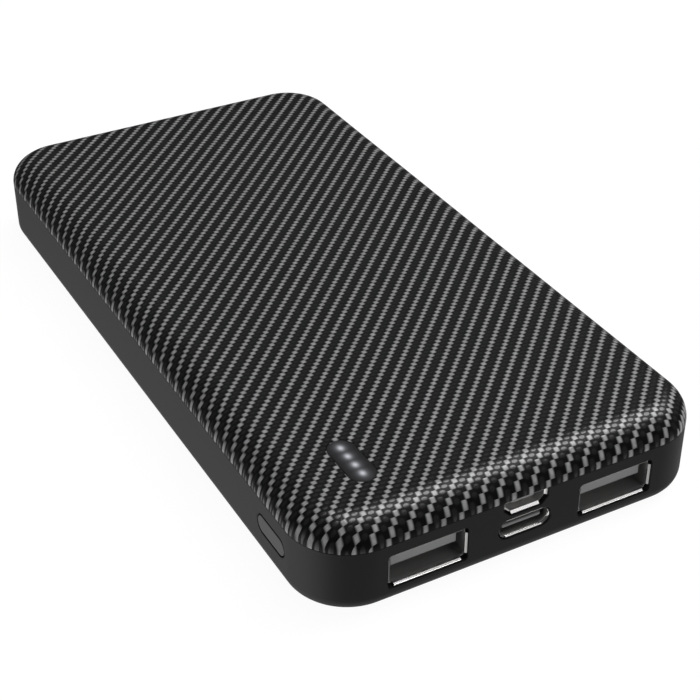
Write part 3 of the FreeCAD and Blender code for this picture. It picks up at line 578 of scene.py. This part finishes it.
# Name, colour, metallic, roughness, grain in millimetres and how much the colour varies
INNER_FINISHES = {
    "circuit_board": ("solder mask over glass epoxy", "#12402a", 0.0, 0.35, 0.8, 0.15),
    "battery_cell": ("drawn aluminium laminate pouch", "#b9babd", 0.8, 0.35, 6.0, 0.08),
    "battery_tabs": ("rolled nickel strip", "#b8b4ab", 1.0, 0.3, 0.4, 0.1),
    "board_screws": ("zinc-plated steel screw", "#b4b4b6", 1.0, 0.3, 0.3, 0.1),
    "status_lights": ("moulded light chip", "#f0ecd8", 0.0, 0.3, 0.2, 0.05),
    "power_inductor": ("pressed ferrite", "#3a3a3c", 0.0, 0.7, 0.15, 0.3),
    "controller_chip": ("moulded epoxy chip", "#1c1c1e", 0.0, 0.6, 0.1, 0.2),
    "switching_transistors": ("moulded epoxy chip", "#1c1c1e", 0.0, 0.6, 0.1, 0.2),
    "chip_resistors": ("glazed resistor", "#141416", 0.0, 0.3, 0.2, 0.2),
    "ceramic_capacitors": ("fired ceramic", "#8a6f4e", 0.0, 0.45, 0.2, 0.15),
    "insulating_tape": ("polyimide tape", "#b06a1a", 0.0, 0.25, 2.0, 0.1),
    "foam_pad": ("closed-cell foam", "#26262a", 0.0, 0.9, 0.3, 0.4),
    "light_shield": ("closed-cell foam", "#26262a", 0.0, 0.9, 0.3, 0.4),
    "adhesive_pad": ("double-sided adhesive foam", "#d8d6cf", 0.0, 0.7, 0.3, 0.1),
    "temperature_sensor": ("dipped epoxy bead", "#22201c", 0.0, 0.4, 0.3, 0.2),
    "tact_switch_body": ("moulded nylon", "#202022", 0.0, 0.5, 0.2, 0.15),
    "tact_switch_plunger": ("moulded nylon", "#202022", 0.0, 0.5, 0.2, 0.15),
    "usb_a_contacts_left": ("gold-flashed spring contact", "#a3957a", 1.0, 0.3, 0.2, 0.08),
    "usb_a_contacts_right": ("gold-flashed spring contact", "#a3957a", 1.0, 0.3, 0.2, 0.08),
    "usb_c_contacts": ("gold-flashed spring contact", "#a3957a", 1.0, 0.3, 0.2, 0.08),
    "micro_usb_contacts": ("gold-flashed spring contact", "#a3957a", 1.0, 0.3, 0.2, 0.08),
}


def grained(name, code, metallic, roughness, grain, variation):
    """A plain finish whose colour and gloss vary with a grain of real size."""
    known = bpy.data.materials.get(name)
    if known:
        return known
    material, tree, shader = new_material(name, Metallic=metallic, Roughness=roughness)
    place = add_node(tree, "ShaderNodeTexCoord").outputs["Object"]
    speckle = add_node(tree, "ShaderNodeTexNoise", {"Vector": place, "Scale": 1 / (grain * MM), "Detail": 3.0})
    toned(tree, shader, speckle.outputs["Fac"], linear(code), 1 - variation, 1 + variation)
    gloss = add_node(tree, "ShaderNodeMapRange", {
        "Value": speckle.outputs["Fac"], "To Min": 0.85 * roughness, "To Max": 1.15 * roughness})
    tree.links.new(gloss.outputs["Result"], shader.inputs["Roughness"])
    return material


# Operators

class POWERBANK_OT_tray(bpy.types.Operator):
    """Build the moulded tray with its socket and key openings"""
    bl_idname = "power_bank.tray"
    bl_label = "Tray"

    def execute(self, context):
        case = context.scene.power_bank.case
        corners = case_corners()
        build = bmesh.new()
        radius = case.bottom_rounding
        stations = arc_stations((-radius, radius), (radius, radius), -90, 0, case.edge_steps)
        stations += arc_stations((-case.seam_break, SEAM - case.seam_break), (case.seam_break, case.seam_break),
                                 0, 90, 3)
        stations += [(-case.wall, SEAM), (-case.wall, case.wall)]
        skin(build, corners, case.corner_radius, stations, upright, case.corner_steps)
        piece = make_object("tray", build)
        cut_openings(piece, self.opening_cutters(case))
        smooth(piece)
        material = moulded_abs("spark-eroded black ABS", case.plastic, 0.5, case.grain, 0.3)
        finish(piece, material, "case", "case_plastic", "bottom_shell")
        return {"FINISHED"}

    def opening_cutters(self, case):
        """A skin for each opening, with a chamfer where it meets the outside."""
        build = bmesh.new()
        deep = 2 * case.wall
        gap, chamfer = case.opening_gap, case.opening_break
        stations = [(gap + chamfer, FRONT - MM), (gap + chamfer, FRONT), (gap, FRONT + chamfer),
                    (gap, FRONT + deep)]
        socket_radius = 0.55 * MM
        for side in ("left", "right"):
            skin(build, front_corners(f"usb_a_shell_{side}"), socket_radius, stations, lengthwise, 6)
        oval = front_corners("usb_c_shell")
        skin(build, oval, (oval[2].y - oval[0].y) / 2, stations, lengthwise, 20)
        micro = micro_corners()
        for corner in micro[3:5]:
            corner.y = SEAM + MM
        skin(build, micro, 0.3 * MM, stations, lengthwise, 5)
        low, high = key_rectangle()
        side_stations = [(KEY_GAP + chamfer, -HALF_WIDTH - MM), (KEY_GAP + chamfer, -HALF_WIDTH),
                         (KEY_GAP, -HALF_WIDTH + chamfer), (KEY_GAP, -HALF_WIDTH + deep)]
        skin(build, rectangle(low, high), (high[1] - low[1]) / 2, side_stations, sideways, 20)
        return build


class POWERBANK_OT_cover(bpy.types.Operator):
    """Build the rounded cover with its twill film and the window's slot"""
    bl_idname = "power_bank.cover"
    bl_label = "Cover"

    def execute(self, context):
        case = context.scene.power_bank.case
        build = bmesh.new()
        rise = CASE_HIGH.z - SEAM - case.seam_break
        inner_inset = case.wall + case.top_inset / 2
        ceiling = CASE_HIGH.z - case.wall
        stations = [(-inner_inset, ceiling), (-case.wall, ceiling - case.top_inset / 3), (-case.wall, SEAM)]
        stations += arc_stations((-case.seam_break, SEAM + case.seam_break), (case.seam_break, case.seam_break),
                                 -90, 0, 3)
        stations += arc_stations((-case.top_inset, CASE_HIGH.z - rise), (case.top_inset, rise), 0, 90,
                                 2 * case.edge_steps)[1:]
        skin(build, case_corners(), case.corner_radius, stations, upright, case.corner_steps)
        piece = make_object("cover", build)
        low, high = window_rectangle()
        cutter = bmesh.new()
        skin(cutter, rectangle(low, high), (high[0] - low[0]) / 2, [
            (WINDOW_GAP, ceiling - MM), (WINDOW_GAP, CASE_HIGH.z - WINDOW_BREAK),
            (WINDOW_GAP + WINDOW_BREAK, CASE_HIGH.z), (WINDOW_GAP + WINDOW_BREAK, CASE_HIGH.z + MM)], upright, 20)
        cut_openings(piece, cutter)
        smooth(piece)
        finish(piece, woven_film(context.scene.power_bank.weave), "case", "patterned_cover", "top_cover")
        return {"FINISHED"}


def shrunk(low, high, inset):
    """The two corners of a rectangle, moved inwards."""
    return (low[0] + inset, low[1] + inset), (high[0] - inset, high[1] - inset)


def window_rectangle():
    """The window's visible pill in plan, inside its hidden flange."""
    low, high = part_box("status_window")
    return shrunk((low.x, low.y), (high.x, high.y), WINDOW_FLANGE)


def key_rectangle():
    """The key's face on the long side, inside its hidden flange."""
    low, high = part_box("power_button")
    return shrunk((low.y, low.z), (high.y, high.z), KEY_FLANGE)


class POWERBANK_OT_window(bpy.types.Operator):
    """Build the smoked status window"""
    bl_idname = "power_bank.window"
    bl_label = "Status window"

    def execute(self, context):
        low, high = window_rectangle()
        bottom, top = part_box("status_window")[0].z, CASE_HIGH.z
        build = bmesh.new()
        skin(build, rectangle(low, high), (high[0] - low[0]) / 2, [
            (WINDOW_FLANGE, bottom), (WINDOW_FLANGE, bottom + WINDOW_FLANGE_HEIGHT),
            (0.0, bottom + WINDOW_FLANGE_HEIGHT), (0.0, top - WINDOW_BREAK), (-WINDOW_BREAK, top)], upright, 24)
        piece = make_object("window_pill", build)
        smooth(piece)
        finish(piece, smoked_window(context.scene.power_bank.window), "case", "smoked_window", "status_window")
        return {"FINISHED"}


class POWERBANK_OT_key(bpy.types.Operator):
    """Build the press key with its rounded face, flange and stem"""
    bl_idname = "power_bank.key"
    bl_label = "Press key"

    def execute(self, context):
        window = context.scene.power_bank.window
        low, high = key_rectangle()
        box_low, box_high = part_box("power_button")
        edge = window.key_edge
        flange_front = box_low.x + KEY_FLANGE_INSET
        flange_back = flange_front + KEY_FLANGE_DEPTH
        build = bmesh.new()
        stations = arc_stations((-edge, box_low.x + edge), (edge, edge), -90, 0, 5)
        stations += [(0.0, flange_front), (KEY_FLANGE, flange_front), (KEY_FLANGE, flange_back)]
        skin(build, rectangle(low, high), (high[1] - low[1]) / 2, stations, sideways, 20)
        middle = Vector(((low[0] + high[0]) / 2, (low[1] + high[1]) / 2))
        skin(build, rectangle(middle - KEY_STEM, middle + KEY_STEM), 0.2 * MM, [
            (0.0, flange_back - 0.1 * MM), (0.0, box_high.x)], sideways, 3)
        piece = make_object("press_key", build)
        smooth(piece)
        case = context.scene.power_bank.case
        material = moulded_abs("satin black ABS key", window.key, 0.36, case.grain, 0.5)
        finish(piece, material, "power_button", "key_plastic", "power_button")
        return {"FINISHED"}


def flared_can(name, node, corners, radius, steps, sheet, lips, flare, depth, lip_gap, recess=0.0):
    """A drawn can with a closed back and a flared lip along the named sides of its mouth."""
    front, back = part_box(node)[0].y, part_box(node)[1].y
    edge = 0.05 * MM
    inner = -edge - flare
    outer = inner + 0.9 * sheet
    build = bmesh.new()
    skin(build, corners, radius, [
        (inner, back - sheet), (inner, front + depth + recess), (outer, front + depth + recess), (outer, back)],
        lengthwise, steps)
    rear = front + 1.3 * depth + recess
    profile = [(inner, rear), (inner, front + depth), (inner + 0.05 * flare, front + 0.92 * depth),
               (inner + 0.95 * flare, front + 0.08 * depth), (-0.6 * edge, front),
               (0.0, front), (0.0, front + 0.4 * depth), (outer, front + depth), (outer, rear)]
    for index in lips:
        start, end = corners[index], corners[(index + 1) % len(corners)]
        along = (end - start).normalized() * lip_gap
        bar(build, start + along, end - along, profile, lengthwise)
    piece = make_object(name, build)
    smooth(piece)
    return piece


def insulator(name, node, corners, radius, tongue_low, tongue_high, tongue_front):
    """The moulded block at the back of a socket with its tongue."""
    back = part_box(node)[1].y
    base_depth, edge = 1.8 * MM, 0.15 * MM
    build = bmesh.new()
    skin(build, corners, radius, [(0.0, back - base_depth), (0.0, back)], lengthwise, 4)
    skin(build, rectangle(tongue_low, tongue_high), 0.18 * MM, [
        (-edge, tongue_front), (0.0, tongue_front + edge), (0.0, back - base_depth / 2)], lengthwise, 4)
    piece = make_object(name, build)
    smooth(piece)
    return piece


class POWERBANK_OT_large_sockets(bpy.types.Operator):
    """Build the two large sockets: plated cans with flared lips, and grey tongues"""
    bl_idname = "power_bank.large_sockets"
    bl_label = "Large sockets"

    def execute(self, context):
        settings = context.scene.power_bank.sockets
        # Inside these cans painted shade leaves 0.6 of the colour.
        steel = plated_steel("nickel-plated drawn steel", settings.steel, 0.6)
        grey = moulded_abs("grey moulded nylon tongue", settings.tongue, 0.55, 0.1 * MM, 0.3)
        for side in ("left", "right"):
            can = flared_can(f"large_can_{side}", f"usb_a_shell_{side}", front_corners(f"usb_a_shell_{side}"),
                             0.7 * MM, 5, settings.sheet, range(4), settings.lip_flare, settings.lip_depth,
                             settings.lip_gap, settings.corner_recess)
            finish(can, steel, "case", "socket_steel", f"usb_a_shell_{side}")
            node = f"usb_a_tongue_{side}"
            low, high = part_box(node)
            contact_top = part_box(f"usb_a_contacts_{side}")[1].z
            middle, half, thick = (low.x + high.x) / 2, 5.55 * MM, 1.84 * MM
            inset = moved_out(front_corners(node), -0.15 * MM)
            tongue = insulator(f"large_tongue_{side}", node, inset, 0.3 * MM, (middle - half, contact_top),
                               (middle + half, contact_top + thick), low.y)
            finish(tongue, grey, "case", "tongue_plastic", node)
        return {"FINISHED"}


class POWERBANK_OT_oval_socket(bpy.types.Operator):
    """Build the small oval socket with its rolled rim and middle tongue"""
    bl_idname = "power_bank.oval_socket"
    bl_label = "Oval socket"

    def execute(self, context):
        settings = context.scene.power_bank.sockets
        # Inside this can painted shade leaves 0.3 of the colour.
        steel = plated_steel("nickel-plated drawn steel, painted shade inside", settings.steel, 0.3)
        low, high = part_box("usb_c_shell")
        corners = front_corners("usb_c_shell")
        sheet, front = 1.35 * settings.sheet, low.y
        build = bmesh.new()
        skin(build, corners, (high.z - low.z) / 2, [
            (0.0, high.y), (0.0, front + 0.3 * sheet), (-0.1 * sheet, front + 0.1 * sheet), (-0.2 * sheet, front),
            (-0.4 * sheet, front + 0.25 * sheet), (-0.6 * sheet, front + 0.6 * sheet),
            (-0.85 * sheet, front + 1.15 * sheet), (-0.95 * sheet, front + 1.6 * sheet),
            (-0.95 * sheet, high.y - sheet)], lengthwise, 20)
        can = make_object("oval_can", build)
        smooth(can, ROLLED_ANGLE)
        finish(can, steel, "case", "socket_steel", "usb_c_shell")
        node_low, node_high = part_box("usb_c_tongue")
        middle, half_width, half_height = (low.z + high.z) / 2, 3.345 * MM, 0.35 * MM
        inset = front_corners("usb_c_tongue")
        tongue = insulator("oval_tongue", "usb_c_tongue", inset, (node_high.z - node_low.z) / 2 - 0.01 * MM,
                           (-half_width, middle - half_height), (half_width, middle + half_height), node_low.y)
        grey = moulded_abs("pale moulded nylon tongue", linear("#8e8e8e"), 0.45, 0.1 * MM, 0.4)
        finish(tongue, grey, "case", "socket_plastic", "usb_c_tongue")
        return {"FINISHED"}


class POWERBANK_OT_micro_socket(bpy.types.Operator):
    """Build the micro socket, wide above and narrow below, with its flared lips and thin tongue"""
    bl_idname = "power_bank.micro_socket"
    bl_label = "Micro socket"

    def execute(self, context):
        settings = context.scene.power_bank.sockets
        # Inside this can painted shade leaves 0.8 of the colour, and the metal is less metallic there.
        steel = plated_steel("nickel-plated drawn steel, tinned inside", settings.steel, 0.8, 0.6)
        bottom, right, top, left = 0, 2, 3, 4
        can = flared_can("micro_can", "micro_usb_shell", micro_corners(), 0.35 * MM, 4, settings.sheet,
                         (bottom, right, top, left), settings.small_lip_flare, settings.small_lip_depth,
                         settings.small_lip_gap)
        self.add_seam(can, settings)
        finish(can, steel, "case", "socket_steel", "micro_usb_shell")
        contact_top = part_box("micro_usb_contacts")[1].z
        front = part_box("micro_usb_tongue")[0].y
        half_width, thick = 1.95 * MM, 0.6 * MM
        inset = moved_out(micro_corners(), -0.6 * MM)
        tongue = insulator("micro_tongue", "micro_usb_tongue", inset, 0.1 * MM, (-half_width, contact_top),
                           (half_width, contact_top + thick), front)
        pale = bpy.data.materials["pale moulded nylon tongue"]
        finish(tongue, pale, "case", "socket_plastic", "micro_usb_tongue")
        return {"FINISHED"}

    def add_seam(self, can, settings):
        """The butt seam of the folded sheet, a fine raised line along the can's floor."""
        low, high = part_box("micro_usb_shell")
        floor = low.z + 0.05 * MM + settings.small_lip_flare
        width, height, place = 0.13 * MM, 0.05 * MM, 0.3 * MM
        build = bmesh.new()
        build.from_mesh(can.data)
        skin(build, rectangle((place, floor - height), (place + width, floor + height)), 0.02 * MM,
             [(0.0, low.y + settings.small_lip_depth), (0.0, high.y - settings.sheet)], lengthwise, 2)
        build.to_mesh(can.data)
        build.free()


class POWERBANK_OT_inner_parts(bpy.types.Operator):
    """Give every part inside the case its own finish"""
    bl_idname = "power_bank.inner_parts"
    bl_label = "Inner parts"

    def execute(self, context):
        for node, recipe in INNER_FINISHES.items():
            part = frame["nodes"][node]
            material = grained(*recipe)
            if not part.data.materials:
                part.data.materials.append(material)
            for slot in part.material_slots:
                slot.material = material
        return {"FINISHED"}


class POWERBANK_OT_studio(bpy.types.Operator):
    """Set up the camera, the pale floor and the soft lights"""
    bl_idname = "power_bank.studio"
    bl_label = "Studio"

    def execute(self, context):
        scene = context.scene
        studio = scene.power_bank.studio
        self.camera(scene, studio)
        self.floor(studio)
        self.world(scene, studio)
        self.lights()
        scene.view_settings.view_transform = "Standard"
        return {"FINISHED"}

    def camera(self, scene, studio):
        """The camera looks at the aim point from its azimuth and elevation."""
        data = bpy.data.cameras.new("camera")
        data.lens = studio.lens
        data.sensor_width = 36
        data.clip_start = 0.01
        camera = bpy.data.objects.new("camera", data)
        scene.collection.objects.link(camera)
        away = Vector((math.sin(studio.azimuth) * math.cos(studio.elevation),
                       -math.cos(studio.azimuth) * math.cos(studio.elevation), math.sin(studio.elevation)))
        camera.location = Vector(studio.aim) + away * studio.distance
        camera.rotation_euler = (math.pi / 2 - studio.elevation, 0, studio.azimuth)
        scene.camera = camera

    def sheet(self, name, points, studio, glow):
        """A pale sheet that takes no part in reflections, lit from behind like a light table."""
        build = bmesh.new()
        build.faces.new([build.verts.new(point) for point in points])
        sheet = make_object(name, build)
        material, tree, shader = new_material(f"{name} opal acrylic", Roughness=0.9, Specular_IOR_Level=0.0,
                                              Emission_Color=(1.0, 1.0, 1.0, 1.0), Emission_Strength=glow)
        place = add_node(tree, "ShaderNodeTexCoord").outputs["Object"]
        cloud = add_node(tree, "ShaderNodeTexNoise", {"Vector": place, "Scale": TABLE_CLOUD, "Detail": 4.0})
        toned(tree, shader, cloud.outputs["Fac"], studio.floor, 0.9, 1.0)
        sheet.data.materials.append(material)
        sheet.visible_glossy = False
        return sheet

    def floor(self, studio):
        """The light table under the case, and the pale wall far behind it on every side."""
        reach, height = 4.0, 4.0
        level = CASE_LOW.z
        self.sheet("studio_floor", ((-reach, -reach, level), (reach, -reach, level), (reach, reach, level),
                                    (-reach, reach, level)), studio, 0.96)
        for name, across, along in (("back", 1, 0), ("front", -1, 0), ("right", 0, 1), ("left", 0, -1)):
            corners = [(side, end) for side, end in ((-1, 0), (1, 0), (1, 1), (-1, 1))]
            points = [(reach * (side * across + along), reach * (across - side * along), level + end * height)
                      for side, end in corners]
            wall = self.sheet(f"studio_wall_{name}", points, studio, 1.0)
            wall.visible_diffuse = False
            wall.visible_shadow = False

    def world(self, scene, studio):
        """A dim room above, a soft glow below for reflections, and a white card low at the left."""
        scene.world = bpy.data.worlds.new("room")
        scene.world.use_nodes = True
        tree = scene.world.node_tree
        facing = add_node(tree, "ShaderNodeTexCoord").outputs["Generated"]
        sides = add_node(tree, "ShaderNodeSeparateXYZ", {"Vector": facing})
        below = add_node(tree, "ShaderNodeMapRange", {
            "Value": sides.outputs["Z"], "From Min": TABLE_EDGE[0], "From Max": TABLE_EDGE[1],
            "To Min": studio.room, "To Max": studio.table_glow}, interpolation_type="SMOOTHSTEP")
        behind = add_node(tree, "ShaderNodeMapRange", {
            "Value": sides.outputs["Y"], "From Min": -0.7, "From Max": 0.9, "To Min": 0.88, "To Max": 1.3})
        below = add_node(tree, "ShaderNodeMath", {0: below.outputs["Result"], 1: behind.outputs["Result"]},
                         operation="MULTIPLY")
        card = add_node(tree, "ShaderNodeVectorMath", {0: facing, 1: CARD_PLACE}, operation="DOT_PRODUCT")
        white = add_node(tree, "ShaderNodeMapRange", {
            "Value": card.outputs["Value"], "From Min": CARD_EDGE[0], "From Max": CARD_EDGE[1],
            "To Max": studio.card_glow}, interpolation_type="SMOOTHSTEP")
        total = add_node(tree, "ShaderNodeMath", {0: below.outputs[0], 1: white.outputs["Result"]},
                         operation="ADD")
        tree.links.new(total.outputs[0], tree.nodes["Background"].inputs["Strength"])
        tree.nodes["Background"].inputs["Color"].default_value = (1.0, 1.0, 1.0, 1.0)

    def lights(self):
        """A wide softbox above the case, a little to its right, and two small lights for the sockets' steel."""
        boxes = (("top_softbox", (0.32, 0.01, 0.74), (0.9, 0.38), 7.4),
                 ("socket_strip", (0.25, -0.62, 0.16), (0.5, 0.2), 2.1),
                 ("lip_softbox", (0.34, -0.48, 0.62), (0.5, 0.4), 0.75))
        for name, place, size, power in boxes:
            data = bpy.data.lights.new(name, "AREA")
            data.shape = "RECTANGLE"
            data.size, data.size_y = size
            data.energy = power
            light = bpy.data.objects.new(name, data)
            bpy.context.scene.collection.objects.link(light)
            light.location = place
            back = Vector(place).normalized()
            across = Vector((0, 1, 0)).cross(back).normalized()
            light.rotation_euler = Matrix((across, back.cross(across), back)).transposed().to_euler()
            if name != "top_softbox":
                light.light_linking.receiver_collection = self.sockets()

    def sockets(self):
        """The cans, which are all that the two small lights reach."""
        collection = bpy.data.collections.new("lit_sockets")
        for piece in bpy.context.scene.collection.objects:
            if "can" in piece.name.split("_"):
                collection.objects.link(piece)
        return collection


class POWERBANK_PT_panel(bpy.types.Panel):
    """Buttons and settings of the power bank"""
    bl_idname = "POWERBANK_PT_panel"
    bl_label = "Power bank"
    bl_space_type = "VIEW_3D"
    bl_region_type = "UI"
    bl_category = "Power bank"

    def draw(self, context):
        for operator in OPERATORS:
            self.layout.operator(operator.bl_idname)
        settings = context.scene.power_bank
        for group in (settings.case, settings.weave, settings.sockets, settings.window, settings.studio):
            box = self.layout.box()
            for name in group.__annotations__:
                box.prop(group, name)


GROUPS = (CaseSettings, WeaveSettings, SocketSettings, WindowSettings, StudioSettings, PowerBankSettings)
OPERATORS = (POWERBANK_OT_tray, POWERBANK_OT_cover, POWERBANK_OT_window, POWERBANK_OT_key,
             POWERBANK_OT_large_sockets, POWERBANK_OT_oval_socket, POWERBANK_OT_micro_socket,
             POWERBANK_OT_inner_parts, POWERBANK_OT_studio)


def register():
    """Adds the classes and the settings."""
    for item in (*GROUPS, *OPERATORS, POWERBANK_PT_panel):
        bpy.utils.register_class(item)
    bpy.types.Scene.power_bank = PointerProperty(type=PowerBankSettings)


def unregister():
    """Takes the classes and the settings away."""
    del bpy.types.Scene.power_bank
    for item in reversed((*GROUPS, *OPERATORS, POWERBANK_PT_panel)):
        bpy.utils.unregister_class(item)


def main():
    """Builds the power bank and its studio."""
    register()
    for operator in OPERATORS:
        family, name = operator.bl_idname.split(".")
        getattr(getattr(bpy.ops, family), name)()


if __name__ == "__main__":
    main()
